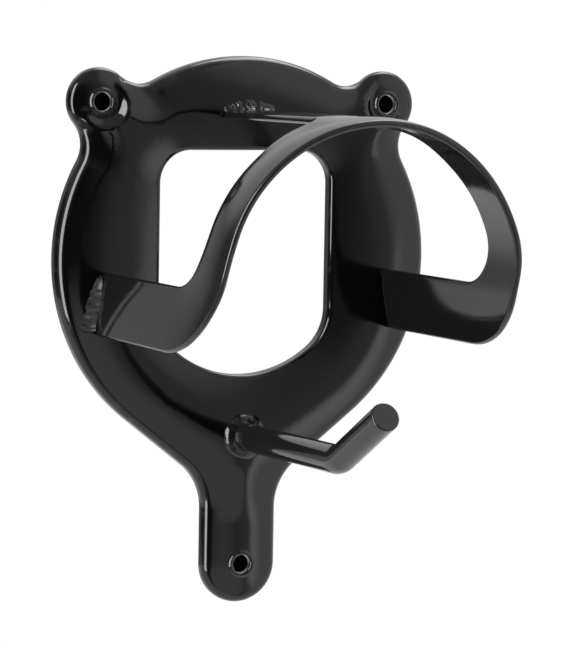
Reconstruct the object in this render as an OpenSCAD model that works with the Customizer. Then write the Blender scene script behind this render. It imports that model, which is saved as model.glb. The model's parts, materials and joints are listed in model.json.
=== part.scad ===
// Wall-mounted bridle rack in black enamelled steel. A pressed back plate carries a saddle-shaped
// arch for the headpiece and a round-bar hook for the reins, all welded together.
// The front faces -Y and +Z is up. The origin lies midway between the two lug screws, half-way
// through the straight walls of their holes, so the wall is the plane y = frame_depth.

/* [Plate outline] */
// Distance between the two lug screws
lug_spacing = 133; // [125:1:141]
// Rise of the lug screws from the centre of the body, in degrees
lug_rise = 45; // [43:0.5:47]
// Distance of the lug screws outside the round of the body
lug_stand = 7.55; // [6:0.05:10]
// Radius of each lug
lug_r = 14.3; // [12:0.1:16]
// Radius of the hollow between a lug and the body
lug_hollow_r = 14; // [8:0.5:16]
// Width of the tongue that carries the lower screw
tongue_w = 34.5; // [30:0.5:40]
// Distance from the hook down to the lower screw
tongue_l = 55.7; // [50:0.1:66]
// Radius of the hollow between the body and the tongue
tongue_hollow_r = 24; // [18:1:32]
// Slope of the straight flank above the tongue, in degrees
flank_angle = 38; // [35:1:42]
// Diameter of the screw holes
screw_hole_d = 8; // [5:0.5:9]
// Radius of the rolled edge at the mouth of a screw hole
hole_edge_r = 1; // [0.4:0.1:1.2]

/* [Plate window] */
// Width of the plate beside the window
window_side_w = 46.8; // [44:0.2:50]
// Width of the plate above the window
window_top_w = 40.2; // [38:0.2:43]
// Width of the ring below the window
window_foot_w = 36.2; // [35:0.2:40]
// Radius of the window's upper corners
window_corner_r = 14; // [8:1:20]
// Radius where the window's sides turn into its bottom
window_turn_r = 22; // [12:1:26]

/* [Plate pressing] */
// Thickness of the plate's sheet
sheet_t = 2; // [1.5:0.1:2.4]
// Distance from the wall to the crown of the plate
crown_depth = 9.5; // [9:0.5:12]
// Distance from the wall to the screw seats on the lugs
lug_seat_depth = 6.2; // [5.8:0.1:7]
// Distance from the wall to the screw seat on the tongue
tongue_seat_depth = 7.3; // [6.8:0.1:8.5]
// Height of the turned-back rim round the body
body_rim = 7.3; // [6.5:0.1:8]
// Height of the rim round a lug
lug_rim = 5.8; // [4.5:0.1:5.8]
// Height of the rim round the tongue
tongue_rim = 6.8; // [5.5:0.1:6.8]
// Radius where the rim turns into the face
rim_edge_r = 2.6; // [2.5:0.1:3]
// Width of the curved slope inside the rim of the body
body_slope_w = 20; // [12:1:20]
// Width of the curved slope inside the rim of a lug
lug_slope_w = 7; // [5:0.5:9]
// Width of the curved slope inside the rim of the tongue
tongue_slope_w = 9; // [6:0.5:11]
// Radius of the level seat round each lug screw
lug_seat_r = 9; // [6:0.5:10]
// Length of the ramp from a lug seat to the crown
lug_ramp_l = 17; // [12:1:20]
// Length of the ramp from the crown to the tongue seat
tongue_ramp_l = 26; // [20:1:30]
// Width of the slope that falls towards the window
window_slope_w = 14; // [8:0.5:14]
// Fall of that slope
window_fall = 2.1; // [0.5:0.1:2.4]
// Radius where the slope turns into the window flange
window_edge_r = 2.6; // [2.5:0.1:3]
// Gap between the window flange and the wall
flange_gap = 1.4; // [0.4:0.1:2]

/* [Saddle arch] */
// Distance of the arch inside the round of the body
arch_inset = 19.5; // [16:0.5:22]
// Drop from the centre of the body to the centre of the arch
arch_low = 3.2; // [1:0.2:5]
// Thickness of the arch's sheet
arch_t = 3; // [2:0.1:3.5]
// Reach of the arch from the wall, at its top
crown_reach = 138; // [130:1:150]
// Reach of the legs from the wall
leg_reach = 134; // [126:1:138]
// Width of a leg
leg_w = 24; // [20:1:28]
// Height of an arm
arm_h = 26.5; // [22:0.5:30]
// Drop from the centre of the arch to the top of the arms
arm_drop = 1.8; // [1:0.1:5]
// Outward splay of the arms, in degrees
arm_splay = 10.5; // [0:0.5:14]
// Radius inside the corner between arm and leg
corner_in_r = 24; // [16:1:30]
// Radius outside the corner between arm and leg
corner_out_r = 50; // [40:1:56]
// Camber of the strap across its width
strap_camber = 0.8; // [0:0.1:2]
// Width of the crown strap that runs back to the plate
strut_w = 26; // [20:1:32]
// Radius where the crown strap spreads into the arch
strut_flare_r = 14; // [8:1:18]
// Length over which the camber fades in beside the crown strap
camber_fade_l = 24; // [16:1:30]
// Step between the faces of the arch and of its crown strap
strut_step = 0.2; // [0.2:0.05:0.4]

/* [Rein hook] */
// Diameter of the hook's bar
bar_d = 12; // [8:0.5:14]
// Height of the hook's root above the foot of the round body
hook_inset = 9.7; // [6:0.1:12]
// Length of the bar from the plate's face to the bend
bar_l = 88.5; // [70:0.5:100]
// Rise of the bar, in degrees
bar_rise = 1; // [0:0.5:2]
// Upward bend of the hook, in degrees
hook_bend = 28; // [20:1:60]
// Radius of the bend on the bar's axis
bend_r = 16; // [14:1:24]
// Thinning of the bar in its bend
bend_thin = 0.1; // [0.1:0.05:0.3]
// Length of the upturned end
upturn_l = 42; // [30:1:55]
// Width of the broken edge at the bar's end
bar_edge = 0.8; // [0.4:0.1:1.5]
// Length of bar that stands out behind the plate's sheet
bar_tail = 1.2; // [0.5:0.1:2]
// Gap between the bar and the hole it passes through
bar_gap = 0.1; // [0.05:0.05:0.2]

/* [Welds] */
// Leg of the weld beads along the arms and the crown strap
bead_leg = 4.5; // [3:0.5:6]
// Leg of those beads at their two ends, as a share of the full leg
bead_end_share = 0.45; // [0.3:0.05:0.9]
// Leg of the weld bead round the hook's root
hook_bead_leg = 4; // [3:0.5:6]
// Height of that bead on the bar
hook_bead_rise = 2.5; // [2:0.5:4]
// Leg of the weld bead behind the plate
back_bead_leg = 3; // [2:0.5:4]
// Swell of a bead's face, as a share of its leg
bead_swell_share = 0.6; // [0.5:0.02:0.7]
// Gap left between a bead and the faces it joins
bead_gap = 0.05; // [0.05:0.01:0.1]

/* [Hidden] */
$fn = 64;
overrun = 5;
enamel = "#1b1b1d";

// Points of the plate's sections and of the strap's sections
half_turn_share = sin(45);
mid_share = 0.5;
slope_shares = [0, 1 / 3, 2 / 3, 1];
back_slope_shares = [1, 1 / 3, 0];
land_shares = [0.2, 0.45, 0.72];
strap_shares = [-1, -0.67, -0.33, 0, 0.33, 0.67, 1];
strut_shares = [-1, -0.75, -0.5, -0.25, 0, 0.25, 0.5, 0.75, 1];

// Segments of half the plate's outline, from the middle of the top to the middle of the bottom
top_n = 8;
hollow_n = 4;
lug_n = 10;
side_n = 9;
turn_n = 3;
flank_n = 3;
tongue_hollow_n = 5;
tongue_side_n = 3;
tongue_end_n = 6;

// Segments of half the arch
arch_n = 16;
corner_n = 7;
arm_n = 3;
flare_n = 5;
bead_n = 5;

// Angle by which the bend laps into the straight lengths of the bar
bend_lap = 2;

// Places on the plate, as [x, z], measured from the lug screws
body_drop = lug_spacing / 2 * tan(lug_rise);
body_c = [0, -body_drop];
lug_c = [lug_spacing / 2, 0];
lug_dist = norm(lug_c - body_c);
body_r = lug_dist - lug_stand;
hook_drop = body_drop + body_r - hook_inset;
lower_c = [0, -hook_drop - tongue_l];
hollow_dist = body_r + lug_hollow_r;
hollow_spread = acos((hollow_dist ^ 2 + lug_dist ^ 2 - (lug_r + lug_hollow_r) ^ 2)
    / (2 * hollow_dist * lug_dist));
upper_hollow_c = body_c + hollow_dist * ray(lug_rise + hollow_spread);
lower_hollow_c = body_c + hollow_dist * ray(lug_rise - hollow_spread);
flank_ray = ray(flank_angle - 90);
flank_top = body_c + body_r * flank_ray;
flank_foot_x = tongue_w / 2 + tongue_hollow_r * (1 - flank_ray.x);
flank_foot = [flank_foot_x, flank_top.y - (flank_top.x - flank_foot_x) * tan(flank_angle)];
tongue_hollow_c = flank_foot + tongue_hollow_r * flank_ray;
window_w = 2 * (body_r - window_side_w);
window_top_drop = body_drop - body_r + window_top_w;
window_bottom_r = body_r - window_foot_w;
window_corner_c = [window_w / 2 - window_corner_r, -window_top_drop - window_corner_r];
turn_x = window_w / 2 - window_turn_r;
turn_c = body_c + [turn_x, -sqrt((window_bottom_r - window_turn_r) ^ 2 - turn_x ^ 2)];
turn_angle = atan2(turn_c.y - body_c.y, turn_c.x - body_c.x);
tongue_ramp_top = hook_drop + bar_d / 2 + hook_bead_leg + sheet_t;

// Distance from the wall to the origin
frame_depth = lug_seat_depth - (sheet_t + hole_edge_r) / 2;

// Places on the arch, measured along its curve from the top
arch_r = body_r - arch_inset;
arch_drop = body_drop + arch_low;
arch_mid_r = arch_r - arch_t / 2;
arch_quarter = arch_mid_r * PI / 2;
arm_top_s = arch_quarter + arm_drop;
arm_foot_s = arm_top_s + arm_h;
leg_back = leg_reach - leg_w;
flare_s = strut_w / 2 + strut_flare_r;

function ray(a) = [cos(a), sin(a)];
function angle_of(v) = atan2(v.y, v.x);
function mix(a, b, share) = a + (b - a) * share;
function clamp(u) = min(max(u, 0), 1);
function ease(u) = let (c = clamp(u)) c * c * (3 - 2 * c);
function flip(p) = [-p.x, p.y];

// Depth of the plate's face away from its edges
function crown_at(p) = let (
        to_lug = norm([abs(p.x), p.y] - lug_c),
        lug_share = (1 - clamp((to_lug - lug_seat_r) / lug_ramp_l)) ^ 2,
        tongue_share = ease((-p.y - tongue_ramp_top) / tongue_ramp_l)
    )
    crown_depth - (crown_depth - lug_seat_depth) * lug_share
        - (crown_depth - tongue_seat_depth) * tongue_share;

// Depth of the plate's face on the round sides of the body, where the arms stand
function side_depth(p) = let (
        inset = body_r - norm(p - body_c),
        up_share = clamp((inset - rim_edge_r) / (body_slope_w - rim_edge_r))
    )
    mix(body_rim, crown_depth, 1 - (1 - up_share) ^ 2);

// A station of an outline is [point, normal, lug share, tongue share]
function arc_stations(c, r, from_a, to_a, n, side,
        lug_from = 0, lug_to = 0, tongue_from = 0, tongue_to = 0) =
    [for (i = [0 : n - 1]) let (u = i / n, d = ray(mix(from_a, to_a, u)))
        [c + r * d, side * d, mix(lug_from, lug_to, u), mix(tongue_from, tongue_to, u)]];
function line_stations(from_p, to_p, n, normal, tongue_share = 0) =
    [for (i = [0 : n - 1]) [mix(from_p, to_p, i / n), normal, 0, tongue_share]];

function flip_station(s) = [flip(s[0]), flip(s[1]), s[2], s[3]];
function whole_outline(half, last) = concat(half, [last],
    [for (i = [len(half) - 1 : -1 : 1]) flip_station(half[i])]);

// Outer outline: body, hollow, lug, hollow, body, flank, hollow, tongue
outer_half = concat(
    arc_stations(body_c, body_r, 90, lug_rise + hollow_spread, top_n, 1),
    arc_stations(upper_hollow_c, lug_hollow_r, lug_rise + hollow_spread - 180,
        angle_of(lug_c - upper_hollow_c), hollow_n, -1, 0, 1),
    arc_stations(lug_c, lug_r, angle_of(upper_hollow_c - lug_c), angle_of(lower_hollow_c - lug_c),
        lug_n, 1, 1, 1),
    arc_stations(lower_hollow_c, lug_hollow_r, angle_of(lug_c - lower_hollow_c),
        lug_rise - hollow_spread + 180, hollow_n, -1, 1, 0),
    arc_stations(body_c, body_r, lug_rise - hollow_spread, flank_angle - 90, side_n + turn_n, 1),
    line_stations(flank_top, flank_foot, flank_n, flank_ray),
    arc_stations(tongue_hollow_c, tongue_hollow_r, flank_angle + 90, 180, tongue_hollow_n,
        -1, 0, 0, 0, 1),
    line_stations([tongue_w / 2, tongue_hollow_c.y], [tongue_w / 2, lower_c.y], tongue_side_n,
        [1, 0], 1),
    arc_stations(lower_c, tongue_w / 2, 0, -90, tongue_end_n, 1, 0, 0, 1, 1)
);
outer = whole_outline(outer_half, [lower_c - [0, tongue_w / 2], [0, -1], 0, 1]);

// Window outline, with as many stations, normals into the sheet
inner_half = concat(
    line_stations([0, -window_top_drop], [window_corner_c.x, -window_top_drop], top_n, [0, 1]),
    arc_stations(window_corner_c, window_corner_r, 90, 0, 2 * hollow_n + lug_n, 1),
    line_stations([window_w / 2, window_corner_c.y], [window_w / 2, turn_c.y], side_n, [1, 0]),
    arc_stations(turn_c, window_turn_r, 0, turn_angle, turn_n, 1),
    arc_stations(body_c, window_bottom_r, turn_angle, -90,
        flank_n + tongue_hollow_n + tongue_side_n + tongue_end_n, 1)
);
inner = whole_outline(inner_half, [body_c - [0, window_bottom_r], [0, -1], 0, 0]);

// A row of a section is [point, depth]
function slope_row(o, slope_w, rim, share, t) = let (
        p = o[0] - o[1] * mix(rim_edge_r, slope_w, share)
    )
    [p, mix(rim, crown_at(p), 1 - (1 - share) ^ 2) - t];
function land_row(a, b, share, t) = let (p = mix(a, b, share)) [p, crown_at(p) - t];

// One section of the pressing, from the outer rim over the face to the window flange and back inside
function plate_section(o, w) = let (
        slope_w = body_slope_w + (lug_slope_w - body_slope_w) * o[2]
            + (tongue_slope_w - body_slope_w) * o[3],
        rim = body_rim + (lug_rim - body_rim) * o[2] + (tongue_rim - body_rim) * o[3],
        turn = rim_edge_r * (1 - half_turn_share),
        window_turn = window_edge_r * (1 - half_turn_share),
        a = o[0] - o[1] * slope_w,
        b = w[0] + w[1] * window_slope_w,
        b_half = w[0] + w[1] * mix(window_edge_r, window_slope_w, mid_share),
        edge = crown_at(b) - window_fall
    )
    concat(
        [[o[0], 0], [o[0], rim - rim_edge_r], [o[0] - o[1] * turn, rim - turn]],
        [for (share = slope_shares) slope_row(o, slope_w, rim, share, 0)],
        [for (share = land_shares) land_row(a, b, share, 0)],
        [[b, crown_at(b)], [b_half, crown_at(b) - window_fall * mid_share ^ 2],
            [w[0] + w[1] * window_edge_r, edge], [w[0] + w[1] * window_turn, edge - window_turn],
            [w[0], edge - window_edge_r], [w[0], flange_gap]],
        [[w[0] + w[1] * sheet_t, flange_gap], [w[0] + w[1] * sheet_t, edge - window_edge_r],
            [w[0] + w[1] * window_edge_r, edge - sheet_t], [b, crown_at(b) - sheet_t]],
        [for (i = [len(land_shares) - 1 : -1 : 0]) land_row(a, b, land_shares[i], sheet_t)],
        [for (share = back_slope_shares) slope_row(o, slope_w, rim, share, sheet_t)],
        [[o[0] - o[1] * sheet_t, rim - rim_edge_r], [o[0] - o[1] * sheet_t, 0]]
    );

// Triangles between neighbouring closed rows of points, in a ring or with capped ends
function band_faces(n, m, ring) = [for (i = [0 : ring ? n - 1 : n - 2]) for (j = [0 : m - 1]) let (
        p = i * m, q = ((i + 1) % n) * m, k = (j + 1) % m
    )
    each [[p + j, q + k, p + k], [p + j, q + j, q + k]]];
// An end of a sheet is closed across it, from each outer point to the inner point below it
function sheet_end(m) = let (k = m / 2) concat(
    [[m - 3, m - 2, m - 1], [k - 3, k - 2, k - 1]],
    [for (j = [-1 : k - 4]) each [[(j + m) % m, j + 1, m - 5 - j], [(j + m) % m, m - 5 - j, m - 4 - j]]]
);
// An end of a bead is closed from the corner that it fills
function bead_end(m) = [for (j = [1 : m - 2]) [0, j, j + 1]];
module loft(rows, ends = []) {
    n = len(rows);
    m = len(rows[0]);
    far_ends = [for (f = ends) [for (j = [2, 1, 0]) f[j] + (n - 1) * m]];
    polyhedron([for (row = rows) each row], concat(band_faces(n, m, len(ends) == 0), ends, far_ends));
}

// A hole of the plate, square to the wall, with a rolled edge at its mouth
module screw_hole(c, seat_depth) {
    translate([c.x, 0, c.y]) rotate([90, 0, 0]) {
        translate([0, 0, -overrun]) cylinder(d = screw_hole_d, h = seat_depth + 2 * overrun);
        translate([0, 0, seat_depth - hole_edge_r]) rotate_extrude() difference() {
            square([screw_hole_d / 2 + hole_edge_r, hole_edge_r + overrun]);
            translate([screw_hole_d / 2 + hole_edge_r, 0]) circle(hole_edge_r);
        }
    }
}

// Places things on the hook's axis, where it leaves the face of the plate
module at_hook_root() {
    translate([0, -crown_depth, -hook_drop]) rotate([-bar_rise, 0, 0]) children();
}

// Pressed plate: crowned ring with turned-back rim, window flange, lugs and tongue
module back_plate() {
    color(enamel) difference() {
        loft([for (i = [0 : len(outer) - 1])
            [for (row = plate_section(outer[i], inner[i])) [row[0].x, -row[1], row[0].y]]]);
        for (side = [-1, 1])
            screw_hole([side * lug_c.x, lug_c.y], lug_seat_depth);
        screw_hole(lower_c, tongue_seat_depth);
        at_hook_root() rotate([90, 0, 0]) translate([0, 0, -crown_depth])
            cylinder(d = bar_d + 2 * bar_gap, h = crown_depth + overrun);
    }
}

// A point of the arch from its place along the curve, its reach and its lift off the middle of the sheet
function arch_point(s, reach, lift) = let (
        r = arch_mid_r + lift,
        along = abs(s),
        a = min(along, arch_quarter) / arch_mid_r * 180 / PI,
        down = max(along - arch_quarter, 0)
    )
    [sign(s) * (r * sin(a) + down * tan(arm_splay)), -reach, r * cos(a) - down - arch_drop];

// Back and front edge of the strap, from the top of the arch to the end of an arm, as [along, reach]
corner_in_c = [arm_top_s - corner_in_r, leg_back - corner_in_r];
corner_out_c = [arm_foot_s - corner_out_r, leg_reach - corner_out_r];
strap_half = concat(
    [for (i = [0 : arch_n - 1]) let (u = i / arch_n)
        [[u * corner_in_c.x, leg_back], [u * corner_out_c.x, mix(crown_reach, leg_reach, ease(u))]]],
    [for (i = [0 : corner_n - 1]) let (a = 90 - 90 * i / corner_n)
        [corner_in_c + corner_in_r * ray(a), corner_out_c + corner_out_r * ray(a)]],
    [for (i = [0 : arm_n]) let (u = i / arm_n)
        [[arm_top_s, mix(corner_in_c.y, crown_depth, u)],
            [arm_foot_s, mix(corner_out_c.y, crown_depth, u)]]]
);

// One section of the strap, a cambered sheet with round edges
function strap_lift(s, v) = let (
        fade_share = v < 0 ? ease((abs(s) - flare_s) / camber_fade_l) : 1
    )
    -strap_camber * v * v * fade_share;
function strap_place(back, front, v, lift) = let (
        p = mix(back, front, (v + 1) / 2)
    )
    arch_point(p.x, p.y, strap_lift(p.x, v) + lift);
function strap_section(back, front) = let (
        nose_share = arch_t / norm(front - back),
        flat_share = 1 - nose_share,
        turn_share = flat_share + nose_share * half_turn_share,
        lift = arch_t / 2
    )
    concat(
        [for (v = strap_shares) strap_place(back, front, v * flat_share, lift)],
        [for (k = [1, 0, -1])
            strap_place(back, front, k == 0 ? 1 : turn_share, k * lift * half_turn_share)],
        [for (v = strap_shares) strap_place(back, front, -v * flat_share, -lift)],
        [for (k = [-1, 0, 1])
            strap_place(back, front, k == 0 ? -1 : -turn_share, k * lift * half_turn_share)]
    );

// The end of an arm is cut to the curve of the plate it stands on
function coped(section) = [for (p = section) [p.x, -side_depth([p.x, p.z]) - bead_gap, p.z]];
function flip_edges(e) = [flip(e[0]), flip(e[1])];
strap_edges = concat([for (i = [len(strap_half) - 1 : -1 : 1]) flip_edges(strap_half[i])], strap_half);
strap_rows = [for (e = strap_edges) strap_section(e[0], e[1])];
strap_last = len(strap_rows) - 1;
left_arm_end = coped(strap_rows[0]);
right_arm_end = coped(strap_rows[strap_last]);

// Crown strap: from the plate it runs out level and spreads into the arch
strut_half = concat(
    [for (u = [0, mid_share])
        [strut_w / 2, mix(crown_depth + bead_gap, leg_back - strut_flare_r, u)]],
    [for (i = [0 : flare_n]) let (a = 90 * i / flare_n)
        [flare_s - strut_flare_r * cos(a), leg_back - strut_flare_r * (1 - sin(a))]],
    [[flare_s, leg_back + leg_w / 2]]
);
function strut_section(half_w, reach) = let (
        lift = arch_t / 2 - strut_step,
        flat = half_w - lift,
        turn = flat + lift * half_turn_share
    )
    concat(
        [for (v = strut_shares) arch_point(v * flat, reach, lift)],
        [for (k = [1, 0, -1]) arch_point(k == 0 ? half_w : turn, reach, k * lift * half_turn_share)],
        [for (v = strut_shares) arch_point(-v * flat, reach, -lift)],
        [for (k = [-1, 0, 1]) arch_point(k == 0 ? -half_w : -turn, reach, k * lift * half_turn_share)]
    );
strut_rows = [for (p = strut_half) strut_section(p.x, p.y)];

// Pressed saddle: arms, legs, arch and crown strap in one sheet
module saddle_arch() {
    color(enamel) union() {
        loft(concat([left_arm_end], [for (i = [1 : strap_last - 1]) strap_rows[i]], [right_arm_end]),
            sheet_end(len(left_arm_end)));
        loft([for (i = [len(strut_rows) - 1 : -1 : 0]) strut_rows[i]], sheet_end(len(strut_rows[0])));
    }
}

// Round bar that passes through the plate, runs out and turns up, drawn about the axis of its bend
module rein_hook() {
    color(enamel) at_hook_root() translate([0, -bar_l, bend_r]) rotate([180, 90, 0]) {
        translate([bend_r, 0, 0]) rotate([90, 0, 0]) cylinder(d = bar_d, h = bar_l + sheet_t + bar_tail);
        rotate([0, 0, -bend_lap]) rotate_extrude(angle = hook_bend + 2 * bend_lap)
            translate([bend_r, 0]) circle(d = bar_d - bend_thin);
        rotate([0, 0, hook_bend]) translate([bend_r, 0, 0]) rotate([-90, 0, 0]) {
            cylinder(d = bar_d, h = upturn_l - bar_edge);
            translate([0, 0, upturn_l - bar_edge])
                cylinder(d1 = bar_d, d2 = bar_d - 2 * bar_edge, h = bar_edge);
        }
    }
}

// Face of a bead from the plate up to the piece it holds, as [distance, height]
function bead_face(leg, rise) = [for (i = [0 : bead_n]) let (a = 90 * i / bead_n)
    mix(1 / (cos(a) + sin(a)), 1, bead_swell_share) * [max(leg * cos(a), bead_gap), rise * sin(a)]];
function bead_profile(leg, rise) = concat([[bead_gap, 0]], bead_face(leg, rise));

// Bead laid along the outer face of a strap, in the corner between its end and the plate
function bead_row(p, normal, leg) = [for (b = bead_profile(leg, leg)) let (q = p + normal * b.x)
    [q.x, -side_depth(q) - bead_gap - b.y, q.y]];
module side_bead(face) {
    last = len(face) - 1;
    places = [for (p = face) [p.x, p.z]];
    rows = [for (j = [0 : last]) let (
            along = places[min(j + 1, last)] - places[max(j - 1, 0)],
            normal = [-along.y, along.x] / norm(along),
            leg_share = j == 0 || j == last ? bead_end_share : 1
        )
        bead_row(places[j], normal, bead_leg * leg_share)];
    color(enamel) loft(rows, bead_end(len(rows[0])));
}

// Bead round the bar, on either face of the plate
module bar_bead(leg, rise) {
    color(enamel) rotate([90, 0, 0]) rotate_extrude() translate([bar_d / 2, 0])
        polygon(bead_profile(leg, rise));
}

module left_arm_weld() {
    side_bead([for (j = [len(strap_shares) - 1 : -1 : 0]) left_arm_end[j]]);
}

module right_arm_weld() {
    side_bead([for (j = [0 : len(strap_shares) - 1]) right_arm_end[j]]);
}

module crown_strap_weld() {
    side_bead([for (j = [0 : len(strut_shares) - 1]) strut_rows[0][j]]);
}

module hook_weld() {
    translate([0, -crown_depth - bead_gap, -hook_drop]) bar_bead(hook_bead_leg, hook_bead_rise);
}

module hook_back_weld() {
    translate([0, sheet_t - crown_depth + bead_gap, -hook_drop]) mirror([0, 1, 0])
        bar_bead(back_bead_leg, bar_tail);
}

// Sizes above are measured from the wall; this moves a piece to where the wall lies
module in_frame() {
    translate([0, frame_depth, 0]) children();
}

in_frame() back_plate();
in_frame() saddle_arch();
in_frame() rein_hook();
in_frame() left_arm_weld();
in_frame() right_arm_weld();
in_frame() crown_strap_weld();
in_frame() hook_weld();
in_frame() hook_back_weld();
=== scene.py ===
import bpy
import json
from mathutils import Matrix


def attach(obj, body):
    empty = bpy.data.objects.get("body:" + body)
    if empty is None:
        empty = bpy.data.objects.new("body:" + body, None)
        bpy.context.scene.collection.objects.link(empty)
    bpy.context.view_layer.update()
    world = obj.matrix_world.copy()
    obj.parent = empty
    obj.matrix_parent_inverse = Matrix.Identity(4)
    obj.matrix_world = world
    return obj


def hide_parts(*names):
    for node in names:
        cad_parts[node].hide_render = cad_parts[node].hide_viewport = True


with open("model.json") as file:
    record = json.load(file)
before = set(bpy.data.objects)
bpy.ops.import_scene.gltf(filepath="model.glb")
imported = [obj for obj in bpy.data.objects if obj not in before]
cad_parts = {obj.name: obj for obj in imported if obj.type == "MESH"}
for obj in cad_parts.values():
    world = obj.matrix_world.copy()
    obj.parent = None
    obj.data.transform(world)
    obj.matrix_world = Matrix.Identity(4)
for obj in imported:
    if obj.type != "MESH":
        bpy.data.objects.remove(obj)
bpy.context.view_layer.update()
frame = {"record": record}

import json
import math

import bpy
import numpy as np
from mathutils import Matrix, Vector, kdtree
from mathutils.geometry import delaunay_2d_cdt


# Back plate: one sheet of steel, blanked and drawn into a crowned ring. Its rim and the flange of its
# window are turned back towards the wall, and three screw holes are pierced with a rolled edge.
# It is dipped in gloss black enamel after everything else has been welded to it.
mm = 0.001
mounts = {mount["name"]: mount for mount in frame["record"]["mounts"]}
lug_spacing = mounts["lug_screws"]["dims"]["spacing_x_mm"]
lower_screw_drop = -mounts["lower_screw"]["pos_m"][2] * 1000
wall_back = mounts["wall_face"]["pos_m"][1] * 1000
body_r, body_drop = 86.5, lug_spacing / 2
lug_r, lug_hollow_r = 14.3, 14.0
tongue_w, tongue_hollow_r, flank_angle = 34.5, 24.0, 38.0
window_w, window_top_drop = 79.4, 20.2
window_corner_r, window_bottom_r, window_turn_r = 14.0, 50.3, 22.0
sheet_t, crown_depth, flange_gap = 2.0, 9.5, 1.4
lug_seat_depth, tongue_seat_depth = 6.2, 7.3
lug_seat_r, lug_ramp_l = 7.2, 4.6
# Cosines, counted from the way to the body, between which the ramp of a lug comes in
ramp_none, ramp_full = -0.5, 0.3
tongue_ramp_top, tongue_ramp_l = 155.3, 26.0
screw_hole_r, hole_edge_r = mounts["lug_screws"]["dims"]["hole_r_mm"], 1.0
lip_w, lip_h = 2.3, 0.78
hook_drop, bar_r, bar_gap = 143.3, 6.0, 0.1
# Spacing of points along fine edges, along the rim and over a face, and the slack at an edge
fine_step, rim_step, face_spacing, edge_slack = 0.1, 1.2, 1.6, 0.01
# Straight wall, width of the slope, then width and height of the round shoulder between them
rim_body = np.array([2.4, 27.0, 5.0, 5.0])
rim_lug = np.array([1.8, 9.0, 3.2, 3.2])
rim_tongue = np.array([1.6, 17.2, 4.2, 4.2])
rim_window = np.array([5.0, 36.0, 2.0, 2.2])


def heading(degrees):
    return np.array([math.cos(math.radians(degrees)), math.sin(math.radians(degrees))])


def bearing(v):
    return math.degrees(math.atan2(v[1], v[0]))


def ease(u):
    c = np.clip(u, 0.0, 1.0)
    return c * c * (3.0 - 2.0 * c)


def soft_start(run, lead):
    """Run beyond a bend at zero, rounded off over the lead on either side of it."""
    return np.where(run > lead, run, np.maximum(run + lead, 0.0) ** 2 / (4 * lead))


# Edge stations are rows of [across, up, normal across, normal up, lug share, tongue share]
def arc_edge(centre, radius, start, stop, side, step, lug=(0.0, 0.0), tongue=(0.0, 0.0)):
    n = max(2, round(abs(math.radians(stop - start)) * radius / step))
    u = np.arange(n) / n
    a = np.radians(start + (stop - start) * u)
    d = np.stack([np.cos(a), np.sin(a)], 1)
    return np.column_stack([np.asarray(centre) + radius * d, side * d,
                            lug[0] + (lug[1] - lug[0]) * u, tongue[0] + (tongue[1] - tongue[0]) * u])


def line_edge(start, stop, normal, step, tongue=0.0):
    start, stop = np.asarray(start, float), np.asarray(stop, float)
    n = max(2, round(np.linalg.norm(stop - start) / step))
    u = np.arange(n)[:, None] / n
    rest = np.tile([normal[0], normal[1], 0.0, tongue], (n, 1))
    return np.column_stack([start + (stop - start) * u, rest])


def both_halves(half, last):
    left = half[1:][::-1].copy()
    left[:, [0, 2]] *= -1.0
    return np.concatenate([half, [last], left])


def plate_outline(step):
    body = np.array([0.0, -body_drop])
    lug = np.array([lug_spacing / 2, 0.0])
    reach = np.linalg.norm(lug - body)
    to_lug = bearing(lug - body)
    ring = body_r + lug_hollow_r
    spread = math.degrees(math.acos((ring ** 2 + reach ** 2 - (lug_r + lug_hollow_r) ** 2)
                                    / (2 * ring * reach)))
    upper, lower = body + ring * heading(to_lug + spread), body + ring * heading(to_lug - spread)
    side = heading(flank_angle - 90)
    top = body + body_r * side
    foot_x = tongue_w / 2 + tongue_hollow_r * (1 - side[0])
    foot = np.array([foot_x, top[1] - (top[0] - foot_x) * math.tan(math.radians(flank_angle))])
    hollow = foot + tongue_hollow_r * side
    half = np.concatenate([
        arc_edge(body, body_r, 90, to_lug + spread, 1, step),
        arc_edge(upper, lug_hollow_r, to_lug + spread - 180, bearing(lug - upper), -1, step, lug=(0, 1)),
        arc_edge(lug, lug_r, bearing(upper - lug), bearing(lower - lug), 1, step, lug=(1, 1)),
        arc_edge(lower, lug_hollow_r, bearing(lug - lower), to_lug - spread + 180, -1, step, lug=(1, 0)),
        arc_edge(body, body_r, to_lug - spread, flank_angle - 90, 1, step),
        line_edge(top, foot, side, step),
        arc_edge(hollow, tongue_hollow_r, flank_angle + 90, 180, -1, step, tongue=(0, 1)),
        line_edge([tongue_w / 2, hollow[1]], [tongue_w / 2, -lower_screw_drop], [1, 0], step, 1.0),
        arc_edge([0, -lower_screw_drop], tongue_w / 2, 0, -90, 1, step, tongue=(1, 1))])
    return both_halves(half, [0, -lower_screw_drop - tongue_w / 2, 0, -1, 0, 1])


def window_outline(step):
    body = np.array([0.0, -body_drop])
    corner = np.array([window_w / 2 - window_corner_r, -window_top_drop - window_corner_r])
    turn_x = window_w / 2 - window_turn_r
    turn = body + [turn_x, -math.sqrt((window_bottom_r - window_turn_r) ** 2 - turn_x ** 2)]
    half = np.concatenate([
        line_edge([0, -window_top_drop], [corner[0], -window_top_drop], [0, 1], step),
        arc_edge(corner, window_corner_r, 90, 0, 1, step),
        line_edge([window_w / 2, corner[1]], [window_w / 2, turn[1]], [1, 0], step),
        arc_edge(turn, window_turn_r, 0, bearing(turn - body), 1, step),
        arc_edge(body, window_bottom_r, bearing(turn - body), -90, 1, step)])
    return both_halves(half, [0, -body_drop - window_bottom_r, 0, -1, 0, 0])


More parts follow.
